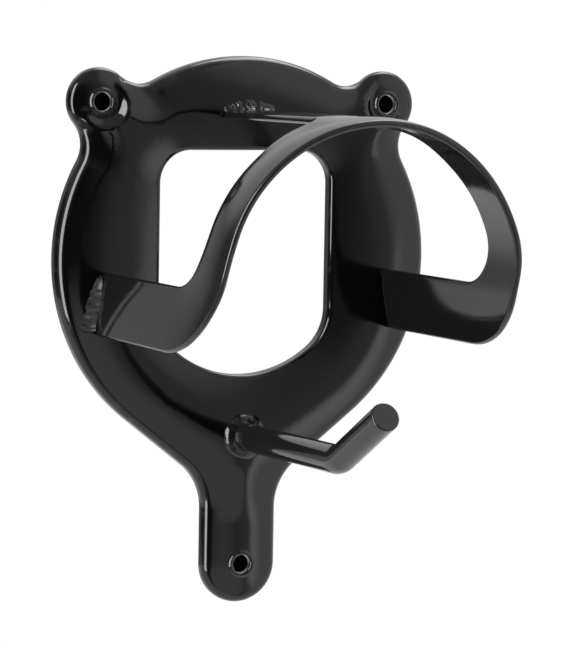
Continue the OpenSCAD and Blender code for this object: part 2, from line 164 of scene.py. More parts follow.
def edge_finder(edge):
    tree = kdtree.KDTree(len(edge))
    for i, row in enumerate(edge):
        tree.insert((row[0], row[1], 0.0), i)
    tree.balance()

    def find(points):
        rows = edge[[tree.find((x, z, 0.0))[1] for x, z in points]]
        return ((points - rows[:, :2]) * rows[:, 2:4]).sum(1), rows

    return find


near_rim = edge_finder(plate_outline(fine_step))
near_window = edge_finder(window_outline(fine_step))


def crown_at(points):
    away = np.column_stack([np.abs(points[:, 0]) - lug_spacing / 2, points[:, 1]])
    to_lug = np.linalg.norm(away, axis=1)
    inward = -away.sum(1) / math.sqrt(2) / np.maximum(to_lug, edge_slack)
    ramp = ease((inward - ramp_none) / (ramp_full - ramp_none))
    lug = 1.0 - ease((to_lug - lug_seat_r) * ramp / lug_ramp_l)
    tongue = ease((-points[:, 1] - tongue_ramp_top) / tongue_ramp_l)
    return (crown_depth - (crown_depth - lug_seat_depth) * lug
            - (crown_depth - tongue_seat_depth) * tongue)


def rim_form(rows):
    """Wall, slope and shoulder of the rim at edge stations."""
    return rim_body + rows[:, 4:5] * (rim_lug - rim_body) + rows[:, 5:6] * (rim_tongue - rim_body)


def pressed_edge(inset, crown, wall, slope_w, shoulder_w, shoulder_h):
    """Depth and slope of a pressed edge: straight wall, round shoulder, then a curve that levels out."""
    low, high = np.zeros_like(crown), np.ones_like(crown)
    halvings = 34
    for _ in range(halvings):
        share = (low + high) / 2
        top = np.sqrt(1 - share ** 2)
        steep = shoulder_h / shoulder_w * share / np.maximum(top, 1e-6)
        over = 0.5 * steep * (slope_w - shoulder_w * (1 - share)) > crown - wall - shoulder_h * top
        high, low = np.where(over, share, high), np.where(over, low, share)
    turn = shoulder_w * (1 - share)
    drop = np.clip(1 - inset / shoulder_w, 0.0, 1.0)
    rise = np.sqrt(np.maximum(1 - drop ** 2, 1e-8))
    left = np.clip(slope_w - inset, 0.0, None)
    on_shoulder = inset < turn
    levels_out = crown - 0.5 * steep / (slope_w - turn) * left ** 2
    depth = np.where(on_shoulder, wall + shoulder_h * rise, levels_out)
    slope = np.where(on_shoulder, shoulder_h / shoulder_w * drop / rise, steep * left / (slope_w - turn))
    return depth, slope


def plate_form(points):
    """Depth of the plate's face, and its slopes in from the rim and in from the window."""
    crown = crown_at(points)
    out, row = near_rim(points)
    rim, rim_slope = pressed_edge(-out, crown, *rim_form(row).T)
    clear, _ = near_window(points)
    opening, window_slope = pressed_edge(clear, crown, *[np.full_like(crown, v) for v in rim_window])
    return rim + opening - crown, rim_slope, window_slope


def plate_depth(points):
    return plate_form(points)[0]


def unit(v):
    return v / np.linalg.norm(v, axis=-1, keepdims=True)


def on_plate(points):
    return np.column_stack([points[:, 0], -plate_depth(points), points[:, 1]])


def face_normals(points, probe=0.25):
    across = (plate_depth(points + [probe, 0]) - plate_depth(points - [probe, 0])) / (2 * probe)
    upward = (plate_depth(points + [0, probe]) - plate_depth(points - [0, probe])) / (2 * probe)
    return unit(np.column_stack([-across, -np.ones(len(points)), -upward]))


def edge_rows(stations, insets, sign, probe=0.25):
    """Rows of a pressed edge at the given insets: points and normals."""
    normal, tangent = stations[:, 2:4], np.column_stack([-stations[:, 3], stations[:, 2]])
    rows = []
    for inset in insets:
        flat = stations[:, :2] - sign * normal * np.reshape(inset, (-1, 1))
        depth, rim_slope, window_slope = plate_form(flat)
        slope = rim_slope if sign > 0 else window_slope
        ahead, astern = plate_depth(flat + probe * tangent), plate_depth(flat - probe * tangent)
        along = (ahead - astern) / (2 * probe)
        lean = sign * normal * slope[:, None] - tangent * along[:, None]
        rows.append((np.column_stack([flat[:, 0], -depth, flat[:, 1]]),
                     unit(np.column_stack([lean[:, 0], -np.ones(len(flat)), lean[:, 1]]))))
    return rows


# A skin is [points, normals, faces, edge share of each point]
def band(rows, closed=True, edge=None):
    """Quads between neighbouring rows of (points, normals)."""
    n = len(rows[0][0])
    faces = [(i * n + j, i * n + k, (i + 1) * n + k, (i + 1) * n + j)
             for i in range(len(rows) - 1) for j, k in zip(range(n), list(range(1, n)) + [0])
             if closed or k]
    shares = np.repeat(np.zeros(len(rows)) if edge is None else np.asarray(edge, float), n)
    return [np.concatenate([r[0] for r in rows]), np.concatenate([r[1] for r in rows]), faces, shares]


def behind(skin, thickness, wear_share=0.5):
    """The other side of a sheet, from the skin of its face."""
    return [skin[0] - skin[1] * thickness, -skin[1], skin[2], skin[3] * wear_share]


def spread_points(loops, inside, spacing, clear_share=0.55):
    """Triangles over a flat region between loops of points."""
    border = np.concatenate(loops)
    ties, start = [], 0
    for loop in loops:
        ties += [(start + i, start + (i + 1) % len(loop)) for i in range(len(loop))]
        start += len(loop)
    low, high = border.min(0), border.max(0)
    rise = spacing * math.sqrt(3) / 2
    levels = np.arange(low[1], high[1], rise)
    grid = np.array([(x + (k % 2) * spacing / 2, z) for k, z in enumerate(levels)
                     for x in np.arange(low[0], high[0], spacing)])
    grid = grid[inside(grid)]
    tree = kdtree.KDTree(len(border))
    for i, (x, z) in enumerate(border):
        tree.insert((x, z, 0.0), i)
    tree.balance()
    grid = grid[[tree.find((x, z, 0.0))[2] > clear_share * spacing for x, z in grid]]
    points = np.concatenate([border, grid])
    made = delaunay_2d_cdt([Vector(p) for p in points], ties, [], 0, 1e-7, False)
    if len(made[0]) != len(points):
        points = np.array([tuple(v) for v in made[0]])
    faces = np.array([f for f in made[2] if len(f) == 3])
    return points, faces[inside(points[faces].mean(1))]


def make_piece(name, skins, finish, *nodes):
    """One closed piece from its skins, smooth where the normals of neighbours agree."""
    points = np.concatenate([s[0] for s in skins])
    normals = np.concatenate([s[1] for s in skins])
    shares = np.concatenate([s[3] for s in skins])
    faces, start = [], 0
    for s in skins:
        faces += [[start + i for i in f] for f in s[2]]
        start += len(s[0])
    _, first, joined = np.unique(np.round(points, 3), axis=0, return_index=True, return_inverse=True)
    joined = joined.reshape(-1)
    polygons, corners = [], []
    for f in faces:
        kept = [i for k, i in enumerate(f) if joined[i] != joined[f[k - 1]]]
        if len({int(joined[i]) for i in kept}) < 3:
            continue
        p = points[kept]
        around = sum(np.cross(p[i] - p[0], p[i + 1] - p[0]) for i in range(1, len(p) - 1))
        if around @ normals[kept].sum(0) < 0:
            kept = kept[::-1]
        polygons.append([int(joined[i]) for i in kept])
        corners.extend(normals[kept])
    mesh = bpy.data.meshes.new(name)
    mesh.from_pydata(((points[first] + [0.0, wall_back, 0.0]) * mm).tolist(), [], polygons)
    mesh.polygons.foreach_set("use_smooth", [True] * len(polygons))
    mesh.attributes.new("edge_share", "FLOAT", "POINT").data.foreach_set("value", shares[first])
    mesh.normals_split_custom_set(unit(np.array(corners)).tolist())
    mesh.materials.append(finish)
    piece = bpy.data.objects.new(name, mesh)
    bpy.context.collection.objects.link(piece)
    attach(piece, "root")
    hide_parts(*nodes)


# Ways of the enamel that every piece shares: its orange peel and the rub along its edges
def node_group(name, inputs, outputs):
    group = bpy.data.node_groups.new(name, "ShaderNodeTree")
    for label, kind, value in inputs:
        socket = group.interface.new_socket(label, in_out="INPUT", socket_type=kind)
        socket.default_value = value
    for label, kind in outputs:
        group.interface.new_socket(label, in_out="OUTPUT", socket_type=kind)
    return group, group.nodes.new("NodeGroupInput"), group.nodes.new("NodeGroupOutput")


def wire(tree, kind, links=(), **values):
    node = tree.nodes.new(kind)
    for key, value in values.items():
        setattr(node, key, value)
    for socket, source in dict(links).items():
        if isinstance(source, bpy.types.NodeSocket):
            tree.links.new(source, node.inputs[socket])
        else:
            node.inputs[socket].default_value = source
    return node


orange_peel, peel_in, peel_out = node_group(
    "orange_peel",
    [("Ripple Size", "NodeSocketFloat", 300.0), ("Smooth", "NodeSocketFloat", 0.12),
     ("Dull", "NodeSocketFloat", 0.3)],
    [("Height", "NodeSocketFloat"), ("Roughness", "NodeSocketFloat")])
place = wire(orange_peel, "ShaderNodeTexCoord").outputs["Object"]
ripple = wire(orange_peel, "ShaderNodeTexNoise", {"Vector": place, "Scale": peel_in.outputs["Ripple Size"],
                                                  "Detail": 2.0, "Roughness": 0.45})
pool = wire(orange_peel, "ShaderNodeTexNoise", {"Vector": place, "Scale": 26.0, "Detail": 3.0})
patchy = wire(orange_peel, "ShaderNodeMapRange", {"Value": pool.outputs["Fac"], "From Min": 0.35,
                                                  "From Max": 0.7, "To Min": peel_in.outputs["Smooth"],
                                                  "To Max": peel_in.outputs["Dull"]})
orange_peel.links.new(ripple.outputs["Fac"], peel_out.inputs["Height"])
orange_peel.links.new(patchy.outputs["Result"], peel_out.inputs["Roughness"])

edge_rub, rub_in, rub_out = node_group(
    "edge_rub",
    [("Edge", "NodeSocketFloat", 0.0), ("Amount", "NodeSocketFloat", 0.5)],
    [("Mask", "NodeSocketFloat")])
place = wire(edge_rub, "ShaderNodeTexCoord").outputs["Object"]
scuff = wire(edge_rub, "ShaderNodeTexNoise", {"Vector": place, "Scale": 160.0, "Detail": 5.0})
gate = wire(edge_rub, "ShaderNodeMapRange", {"Value": scuff.outputs["Fac"], "From Min": 0.52,
                                             "From Max": 0.72})
worn = wire(edge_rub, "ShaderNodeMath", {0: gate.outputs["Result"], 1: rub_in.outputs["Edge"]},
            operation="MULTIPLY")
shown = wire(edge_rub, "ShaderNodeMath", {0: worn.outputs[0], 1: rub_in.outputs["Amount"]},
             operation="MULTIPLY")
edge_rub.links.new(shown.outputs[0], rub_out.inputs["Mask"])


def enamel(name, black, rubbed, peel_size, smooth, dull, wear, peel_depth):
    """Gloss black enamel over steel, with its own black, ripple, dullness and wear; on the arch and bar the
    black is raised as painted fill light.
    """
    finish = bpy.data.materials.new(name)
    finish.use_nodes = True
    tree = finish.node_tree
    tree.nodes.clear()
    share = wire(tree, "ShaderNodeAttribute", attribute_name="edge_share")
    peel = wire(tree, "ShaderNodeGroup", node_tree=orange_peel)
    for label, value in (("Ripple Size", peel_size), ("Smooth", smooth), ("Dull", dull)):
        peel.inputs[label].default_value = value
    rub = wire(tree, "ShaderNodeGroup", node_tree=edge_rub)
    rub.inputs["Amount"].default_value = wear
    tree.links.new(share.outputs["Fac"], rub.inputs["Edge"])
    tone = wire(tree, "ShaderNodeMix", {"Factor": rub.outputs["Mask"]}, data_type="RGBA")
    tone.inputs["A"].default_value = (*black, 1.0)
    tone.inputs["B"].default_value = (*rubbed, 1.0)
    rough = wire(tree, "ShaderNodeMath", {0: rub.outputs["Mask"], 1: 0.25, 2: peel.outputs["Roughness"]},
                 operation="MULTIPLY_ADD")
    bump = wire(tree, "ShaderNodeBump", {"Height": peel.outputs["Height"], "Strength": peel_depth,
                                         "Distance": 0.00012})
    skin = wire(tree, "ShaderNodeBsdfPrincipled", {"Base Color": tone.outputs["Result"],
                                                   "Roughness": rough.outputs[0],
                                                   "Normal": bump.outputs["Normal"]})
    skin.inputs["IOR"].default_value = 1.52
    out = wire(tree, "ShaderNodeOutputMaterial")
    tree.links.new(skin.outputs["BSDF"], out.inputs["Surface"])
    return finish


plate_enamel = enamel("plate_enamel", black=(0.001, 0.001, 0.0011), rubbed=(0.02, 0.02, 0.02),
                      peel_size=260.0, smooth=0.06, dull=0.13, wear=0.5, peel_depth=0.12)

rim_stations, window_stations = plate_outline(rim_step), window_outline(rim_step)
rim_wall, _, rim_w, _ = rim_form(rim_stations).T
turns = 1 - np.cos(np.radians([8, 16, 25, 35, 46, 58, 72, 90]))


def standing(stations, depth, sign):
    """A row of a wall that stands square to the sheet."""
    points = np.column_stack([stations[:, 0], -np.broadcast_to(depth, len(stations)), stations[:, 1]])
    return points, np.column_stack([sign * stations[:, 2], np.zeros(len(stations)), sign * stations[:, 3]])


rim_rows = edge_rows(rim_stations, [rim_w * turn for turn in turns], 1)
window_rows = edge_rows(window_stations, rim_window[2] * turns, -1)
shoulder_wear = [0, 0.3, 0.8, 1, 1, 1, 0.7, 0.4, 0.1, 0]
rim_skin = band([standing(rim_stations, 0.0, 1), standing(rim_stations, rim_wall, 1)] + rim_rows,
                edge=shoulder_wear)
window_skin = band([standing(window_stations, flange_gap, -1),
                    standing(window_stations, rim_window[0], -1)] + window_rows, edge=shoulder_wear)

holes = [np.array([-lug_spacing / 2, 0.0]), np.array([lug_spacing / 2, 0.0]),
         np.array([0.0, -lower_screw_drop])]
ring_points = 72
around = np.radians(np.arange(ring_points) * 360 / ring_points)
ring = np.column_stack([np.cos(around), np.sin(around)])
bar_hole = np.array([0.0, -hook_drop])
mouths = [(hole, screw_hole_r + lip_w) for hole in holes] + [(bar_hole, bar_r + bar_gap)]


def on_face(points):
    out, rows = near_rim(points)
    keep = -out > rim_form(rows)[:, 2] - edge_slack
    keep &= near_window(points)[0] > rim_window[2] - edge_slack
    for mouth in mouths:
        keep &= np.linalg.norm(points - mouth[0], axis=1) > mouth[1] - edge_slack
    return keep


ramp_rings = -0.4, 0.4, 1.2, 2.0, 2.8, 3.5
flat, triangles = spread_points(
    [rim_rows[-1][0][:, [0, 2]], window_rows[-1][0][:, [0, 2]]]
    + [place + ring * radius for place, radius in mouths]
    + [place + ring * (lug_seat_r + step) for place in holes[:2] for step in ramp_rings],
    on_face, face_spacing)
face_skin = [on_plate(flat), face_normals(flat), triangles.tolist(), np.zeros(len(flat))]
plate_skins = [rim_skin, window_skin, face_skin]
plate_skins += [behind(s, sheet_t) for s in plate_skins]
toward_wall = np.tile([0.0, 1.0, 0.0], (len(rim_stations), 1))
foot = plate_skins[0][0][:len(rim_stations)], plate_skins[3][0][:len(rim_stations)]
plate_skins.append(band([(foot[0], toward_wall), (foot[1], toward_wall)]))
toward_wall = np.tile([0.0, 1.0, 0.0], (len(window_stations), 1))
foot = plate_skins[1][0][:len(window_stations)], plate_skins[4][0][:len(window_stations)]
plate_skins.append(band([(foot[0], toward_wall), (foot[1], toward_wall)]))
front = np.array([0.0, -1.0, 0.0])
inward = np.column_stack([-ring[:, 0], np.zeros(len(ring)), -ring[:, 1]])
mouth = on_plate(bar_hole + ring * (bar_r + bar_gap))
plate_skins.append(band([(mouth, inward), (mouth - front * sheet_t, inward)]))
for hole in holes:
    rolled = []
    mouth = on_plate(hole + ring * (screw_hole_r + lip_w))
    for u in np.linspace(0, 1, 7)[:-1]:
        steep = lip_h * math.pi / 2 * math.sin(math.pi * u) / (lip_w - hole_edge_r)
        point = mouth + inward * (lip_w - hole_edge_r) * u + front * lip_h * (1 - math.cos(math.pi * u)) / 2
        rolled.append((point, unit(front - inward * steep)))
    crest = mouth + inward * (lip_w - hole_edge_r) + front * lip_h
    for a in np.radians([0, 18, 36, 54, 72, 90]):
        point = crest + inward * hole_edge_r * math.sin(a) - front * hole_edge_r * (1 - math.cos(a))
        rolled.append((point, inward * math.sin(a) + front * math.cos(a)))
    bottom = mouth + inward * lip_w - front * sheet_t
    rolled.append((bottom, inward))
    plate_skins.append(band(rolled, edge=[0, 0.2, 0.5, 0.8, 1, 1, 1, 1, 1, 1, 0.8, 0.3, 0]))
    back = np.tile(-front, (len(ring), 1))
    plate_skins.append(band([(bottom, back), (mouth - front * sheet_t, back)]))
make_piece("back_plate_pressing", plate_skins, plate_enamel, "back_plate")


# Saddle arch: an E-shaped blank of 3 mm sheet with rolled edges, pressed to a slight camber and bent
# over a former. Its arms, legs, arch and crown strap are one piece; the arms are splayed a little
# and their ends are cut to the slope of the plate.
arch_r, arch_drop, arch_t = 67.0, 69.7, 3.0
nose_r = arch_t / 2
crown_reach, leg_reach, leg_w = 138.0, 134.0, 24.0
arm_h, arm_drop, arm_splay = 26.5, 1.8, 10.5
corner_in_r, corner_out_r = 24.0, 50.0
strut_w, strut_flare_r, end_corner_r = 26.0, 14.0, 3.0
strap_camber, camber_w, splay_bend = 1.2, 13.0, 5.0
camber_from, camber_run = 2.0, 24.0
root_sink, cope_from, blank_step, bend_probe = 1.2, 40.0, 1.1, 0.2
root_reach = crown_depth - root_sink
arch_mid_r = arch_r - arch_t / 2
arch_quarter = arch_mid_r * math.pi / 2
arm_top, arm_foot = arch_quarter + arm_drop, arch_quarter + arm_drop + arm_h
leg_back = leg_reach - leg_w


def blank_outline(step):
    """Edge of the flat blank, as distance along the arch and reach from the wall."""
    into = np.array([arm_top - corner_in_r, leg_back - corner_in_r])
    out = np.array([arm_foot - corner_out_r, leg_reach - corner_out_r])
    flare = np.array([strut_w / 2 + strut_flare_r, leg_back - strut_flare_r])
    low = root_reach + end_corner_r
    n = round(out[0] / step)
    u = np.arange(n) / n
    front = np.column_stack([u * out[0], crown_reach + (leg_reach - crown_reach) * ease(u)])
    run = np.gradient(front, axis=0)
    front = np.column_stack([front, unit(np.column_stack([-run[:, 1], run[:, 0]])), np.zeros((n, 2))])
    front[0, 2:4] = 0.0, 1.0
    half = np.concatenate([
        front,
        arc_edge(out, corner_out_r, 90, 0, 1, step),
        line_edge([arm_foot, out[1]], [arm_foot, low], [1, 0], step),
        arc_edge([arm_foot - end_corner_r, low], end_corner_r, 0, -90, 1, step),
        line_edge([arm_foot - end_corner_r, root_reach], [arm_top + end_corner_r, root_reach], [0, -1],
                  step),
        arc_edge([arm_top + end_corner_r, low], end_corner_r, -90, -180, 1, step),
        line_edge([arm_top, low], [arm_top, into[1]], [-1, 0], step),
        arc_edge(into, corner_in_r, 0, 90, -1, step),
        line_edge([into[0], leg_back], [flare[0], leg_back], [0, -1], step),
        arc_edge(flare, strut_flare_r, 90, 180, -1, step),
        line_edge([strut_w / 2, flare[1]], [strut_w / 2, low], [1, 0], step),
        arc_edge([strut_w / 2 - end_corner_r, low], end_corner_r, 0, -90, 1, step),
        line_edge([strut_w / 2 - end_corner_r, root_reach], [0, root_reach], [0, -1], step)])
    return both_halves(half, [0, root_reach, 0, -1, 0, 0])


fine_edge = blank_outline(fine_step)
near_blank = edge_finder(fine_edge)
near_strip = edge_finder(fine_edge[fine_edge[:, 1] > root_reach + end_corner_r + fine_step])


def splay_at(along):
    return soft_start(along - arch_quarter, splay_bend) * math.tan(math.radians(arm_splay))


def bent_sheet(flat, cambered=True):
    """The sheet bent to shape, from places on the blank: cambered outside, level across its inside."""
    along, reach = np.abs(flat[:, 0]), flat[:, 1]
    shown = ease((np.maximum(along - strut_w / 2 - strut_flare_r, 0)
                  + np.maximum(reach - leg_back - camber_from, 0)) / camber_run)
    inset = -near_strip(flat)[0] if cambered else np.full(len(flat), nose_r)
    radius = arch_mid_r - strap_camber * shown * (1 - np.clip(inset / camber_w, 0, 1)) ** 2
    turn = np.minimum(along, arch_quarter) / arch_mid_r
    x = np.sign(flat[:, 0]) * (radius * np.sin(turn) + splay_at(along))
    z = radius * np.cos(turn) - np.maximum(along - arch_quarter, 0) - arch_drop
    ends = (along > arch_quarter - splay_bend) & (reach < cope_from)
    if ends.any():
        fall = plate_depth(np.column_stack([x, z])[ends]) - crown_depth
        reach = reach.copy()
        reach[ends] += fall * (cope_from - reach[ends]) / (cope_from - root_reach)
    return np.column_stack([x, -reach, z])


def sheet_normals(flat, cambered=True):
    sideways, forwards = [bend_probe, 0], [0, bend_probe]
    along = bent_sheet(flat + sideways, cambered) - bent_sheet(flat - sideways, cambered)
    outward = bent_sheet(flat + forwards, cambered) - bent_sheet(flat - forwards, cambered)
    return unit(np.cross(outward, along))


# The arch's black is raised above the plate's as painted fill light, so its shaded inner faces read lighter
arch_enamel_painted_fill = enamel("arch_enamel_painted_fill", black=(0.008, 0.008, 0.0084), rubbed=(0.02, 0.02, 0.02),
                     peel_size=240.0, smooth=0.06, dull=0.12, wear=0.6, peel_depth=0.08)

blank = blank_outline(blank_step)
nose_flat = blank[:, :2] - blank[:, 2:4] * nose_r
nose_mid, nose_up = bent_sheet(nose_flat), sheet_normals(nose_flat)
nose_probe = bend_probe * blank[:, 2:4]
nose_out = bent_sheet(nose_flat + nose_probe) - bent_sheet(nose_flat - nose_probe)
nose_out = unit(nose_out - nose_up * (nose_out * nose_up).sum(1, keepdims=True))
nose_rows = []
for a in np.radians(np.linspace(90, -90, 11)):
    lean = math.cos(a) * nose_out + math.sin(a) * nose_up
    nose_rows.append((nose_mid + nose_r * lean, lean))
nose_down = sheet_normals(nose_flat, False)
nose_rows[-1] = bent_sheet(nose_flat, False) - nose_r * nose_down, -nose_down
nose_skin = band(nose_rows, edge=[0, 0.4, 0.8, 1, 1, 1, 1, 1, 0.8, 0.4, 0])
flat, triangles = spread_points([nose_flat], lambda p: -near_blank(p)[0] > nose_r - edge_slack,
                                face_spacing)
middle, up = bent_sheet(flat), sheet_normals(flat)
top_skin = [middle + nose_r * up, up, triangles.tolist(), np.zeros(len(flat))]
middle, down = bent_sheet(flat, False), -sheet_normals(flat, False)
under_skin = [middle + nose_r * down, down, triangles.tolist(), np.zeros(len(flat))]
make_piece("saddle_arch_pressing", [nose_skin, top_skin, under_skin], arch_enamel_painted_fill, "saddle_arch")


# Rein hook: a length of 12 mm round bar, pushed through the plate from the front, bent up near its end
# and sawn off square with the edge taken off. It carries the looped reins.
bar_l, bar_tail, bar_edge = 88.5, 1.2, 0.8
bar_rise, hook_bend, bend_r, upturn_l = 1.0, 28.0, 16.0, 42.0

# The bar's black is raised above the plate's as painted fill light, so the shaded side of the bar reads
# lighter
bar_enamel_painted_fill = enamel("bar_enamel_painted_fill", black=(0.011, 0.011, 0.0115), rubbed=(0.025, 0.025, 0.024),
                    peel_size=320.0, smooth=0.06, dull=0.14, wear=0.7, peel_depth=0.25)

hook_root = np.array([0.0, -crown_depth, -hook_drop])
stops = [(-sheet_t - bar_tail + k, 0.0) for k in np.linspace(0, sheet_t + bar_tail + bar_l, 24)]
stops += [(bar_l, hook_bend * k) for k in np.linspace(0, 1, 15)[1:]]
stops += [(bar_l + k, hook_bend) for k in np.linspace(0, upturn_l - bar_edge, 12)[1:]]
bar_rows = []
for run, turned in stops:
    a, b = math.radians(bar_rise), math.radians(bar_rise + turned)
    start, heads = np.array([0, -math.cos(a), math.sin(a)]), np.array([0, -math.cos(b), math.sin(b)])
    rises = np.array([0, math.sin(b), math.cos(b)])
    centre = hook_root + min(run, bar_l) * start
    centre = centre + bend_r * (np.array([0, math.sin(a), math.cos(a)]) - rises)
    centre = centre + max(run - bar_l, 0.0) * heads
    across = np.column_stack([ring[:, 0], np.zeros((len(ring), 2))]) + ring[:, 1:] * rises
    bar_rows.append((centre + bar_r * across, across))
tip = centre
for a in np.radians([22, 45, 68, 90]):
    lean = math.cos(a) * across + math.sin(a) * heads
    bar_rows.append((tip + (bar_r - bar_edge) * across + bar_edge * lean, lean))
flat_end = np.tile(heads, (len(ring), 1))
end_rows = [(bar_rows[-1][0], flat_end), (np.tile(tip + bar_edge * heads, (len(ring), 1)), flat_end)]
tail_end = np.tile(-start, (len(ring), 1))
tail_rows = [(bar_rows[0][0], tail_end), (np.tile(bar_rows[0][0].mean(0), (len(ring), 1)), tail_end)]
tip_wear = [0.1, 0.4, 1, 1, 1, 0.6]
make_piece("rein_hook_bar", [
    band(bar_rows, edge=[0] * (len(bar_rows) - len(tip_wear)) + tip_wear),
    band(end_rows), band(tail_rows)], bar_enamel_painted_fill, "rein_hook")


# Weld beads: one run of weld along the outer face of each arm and on top of the crown strap, and a ring
# round the hook's bar on either side of the plate. They are laid by hand in short overlapping ripples,
# brushed clean and enamelled over.
hook_bead_leg, hook_bead_rise, back_bead_leg = 4.0, 2.5, 3.0
arm_bead_leg, arm_rise_share, arm_bead_head, arm_bead_foot = 3.8, 1.5, 15.0, 2.4
strap_bead_leg, strap_rise_share, strap_bead_taper, strap_bead_inset = 3.6, 0.7, 7.0, 1.0
bead_swell, bead_gap, bead_step, ripple_pitch, ripple_bow = 0.62, 0.05, 0.3, 2.3, 6.4
# Waves of a bead are rows of [height share, length or count, phase share]; those of its toe are rows
# of [length, start]
bead_waves = (0.05, 2.9, 1.0), (0.04, 1.7, 2.1), (0.03, 4.3, 0.7)
ring_waves = (0.05, 3, 1.0), (0.04, 5, 2.1)
toe_waves = (0.83, 0.0), (0.51, 1.0), (1.9, 2.0)


def bead_skins(corner, legs, closed, rise=1.0, depth_back=0.0, ripple=0.0, phase=0.0,
               swell_share=bead_swell, uneven=1.0):
    """Skins of a bead that fills the corner between the plate and what stands on it.

    Rows of corner are [across, up, normal across, normal up]; legs are the leg at each of them.
    """
    run = np.arange(len(corner)) * bead_step
    if closed:
        turn = 2 * math.pi * np.arange(len(corner)) / len(corner)
        slow = sum(high * np.sin(count * turn + share * phase) for high, count, share in ring_waves)
        ripples = round(len(corner) * bead_step / ripple_pitch) * turn
    else:
        slow = sum(high * np.sin(run / length + share * phase) for high, length, share in bead_waves)
        ripples = 2 * math.pi * run / ripple_pitch
    slow = slow * uneven
    outward = -1.0 if depth_back == 0.0 else 1.0
    rows = []
    for b in np.radians(np.linspace(0, 90, 17)):
        c, s = math.cos(b), math.sin(b)
        full = 1 / (c + s) + (1 - 1 / (c + s)) * swell_share
        bow = ripple_bow * (b / (math.pi / 2) - 0.5) ** 2
        swell = full * (1 + (slow + ripple * np.cos(ripples + bow)) * math.sin(2 * b))
        flat = corner[:, :2] + corner[:, 2:4] * (legs * c * swell + bead_gap)[:, None]
        height = depth_back - plate_depth(flat) + outward * (legs * rise * s * swell + bead_gap)
        rows.append(np.column_stack([flat[:, 0], height, flat[:, 1]]))
    grid = np.array(rows)
    along = np.roll(grid, -1, 1) - np.roll(grid, 1, 1) if closed else np.gradient(grid, axis=1)
    facing = np.column_stack([corner[:, 2], np.full(len(corner), outward), corner[:, 3]])
    normals = np.cross(along, np.gradient(grid, axis=0))
    size = np.linalg.norm(normals, axis=-1, keepdims=True)
    normals = np.where(size > 1e-7, normals / np.maximum(size, 1e-9), unit(facing))
    normals *= np.where((normals * facing).sum(-1, keepdims=True) < 0, -1.0, 1.0)
    flat = corner[:, :2] + corner[:, 2:4] * bead_gap
    foot = np.column_stack([flat[:, 0], depth_back - plate_depth(flat) + outward * bead_gap, flat[:, 1]])
    hidden = -unit(facing)
    return [band(list(zip(grid, normals)), closed, np.linspace(0.2, 0.5, len(rows))),
            band([(grid[-1], hidden), (foot, hidden), (grid[0], hidden)], closed)]


def bead_legs(count, leg, first_taper, last_taper, ragged):
    """Legs along an open bead with a ragged toe that swells from nothing at its two ends."""
    run = np.arange(count) * bead_step
    share = np.minimum(run / first_taper, run[::-1] / last_taper)
    waves = sum(np.sin(run / length + start) for length, start in toe_waves)
    toe = 1 + ragged * waves / (len(toe_waves) / 2)
    return leg * toe * np.sqrt(1 - (1 - np.clip(share, 0, 1)) ** 2)


weld_enamel = enamel("weld_enamel", black=(0.006, 0.006, 0.0063), rubbed=(0.03, 0.03, 0.03),
                     peel_size=600.0, smooth=0.24, dull=0.42, wear=0.8, peel_depth=0.9)
ring_enamel = enamel("ring_enamel", black=(0.003, 0.003, 0.0032), rubbed=(0.03, 0.03, 0.03),
                     peel_size=900.0, smooth=0.06, dull=0.14, wear=0.8, peel_depth=0.5)

for name, side in (("left_arm", -1.0), ("right_arm", 1.0)):
    along = np.arange(arm_top + nose_r, arm_foot - nose_r / 2, bead_step)
    across = side * (arch_mid_r + nose_r + splay_at(along))
    corner = np.column_stack([across, arch_quarter - along - arch_drop,
                              np.full(len(along), side), np.zeros(len(along))])
    legs = bead_legs(len(along), arm_bead_leg, arm_bead_head, arm_bead_foot, ragged=0.09)
    skins = bead_skins(corner, legs, False, arm_rise_share, ripple=0.03, phase=1.3 + side,
                       swell_share=0.12, uneven=1.6)
    make_piece(name + "_weld_bead", skins, weld_enamel, name + "_weld")

strap_bead_half = strut_w / 2 - strap_bead_inset
turn = np.arange(-strap_bead_half, strap_bead_half, bead_step) / arch_mid_r
corner = np.column_stack([np.sin(turn), np.cos(turn)])
corner = np.column_stack([corner * (arch_mid_r + nose_r) - [0.0, arch_drop], corner])
legs = bead_legs(len(turn), strap_bead_leg, strap_bead_taper, strap_bead_taper, ragged=0.16)
skins = bead_skins(corner, legs, False, strap_rise_share, ripple=0.12, phase=0.4, swell_share=-0.35,
                   uneven=2.6)
make_piece("crown_strap_weld_bead", skins, ring_enamel, "crown_strap_weld")

turn = np.arange(0, 2 * math.pi, bead_step / bar_r)
corner = np.column_stack([np.cos(turn), np.sin(turn)])
corner = np.column_stack([corner * bar_r + bar_hole, corner])
skins = bead_skins(corner, np.full(len(turn), hook_bead_leg), True, hook_bead_rise / hook_bead_leg,
                   ripple=0.015, phase=2.2)
make_piece("hook_weld_bead", skins, ring_enamel, "hook_weld")
skins = bead_skins(corner, np.full(len(turn), back_bead_leg), True, bar_tail / back_bead_leg,
                   depth_back=sheet_t, ripple=0.02, phase=3.1)
make_piece("hook_back_weld_bead", skins, ring_enamel, "hook_back_weld")


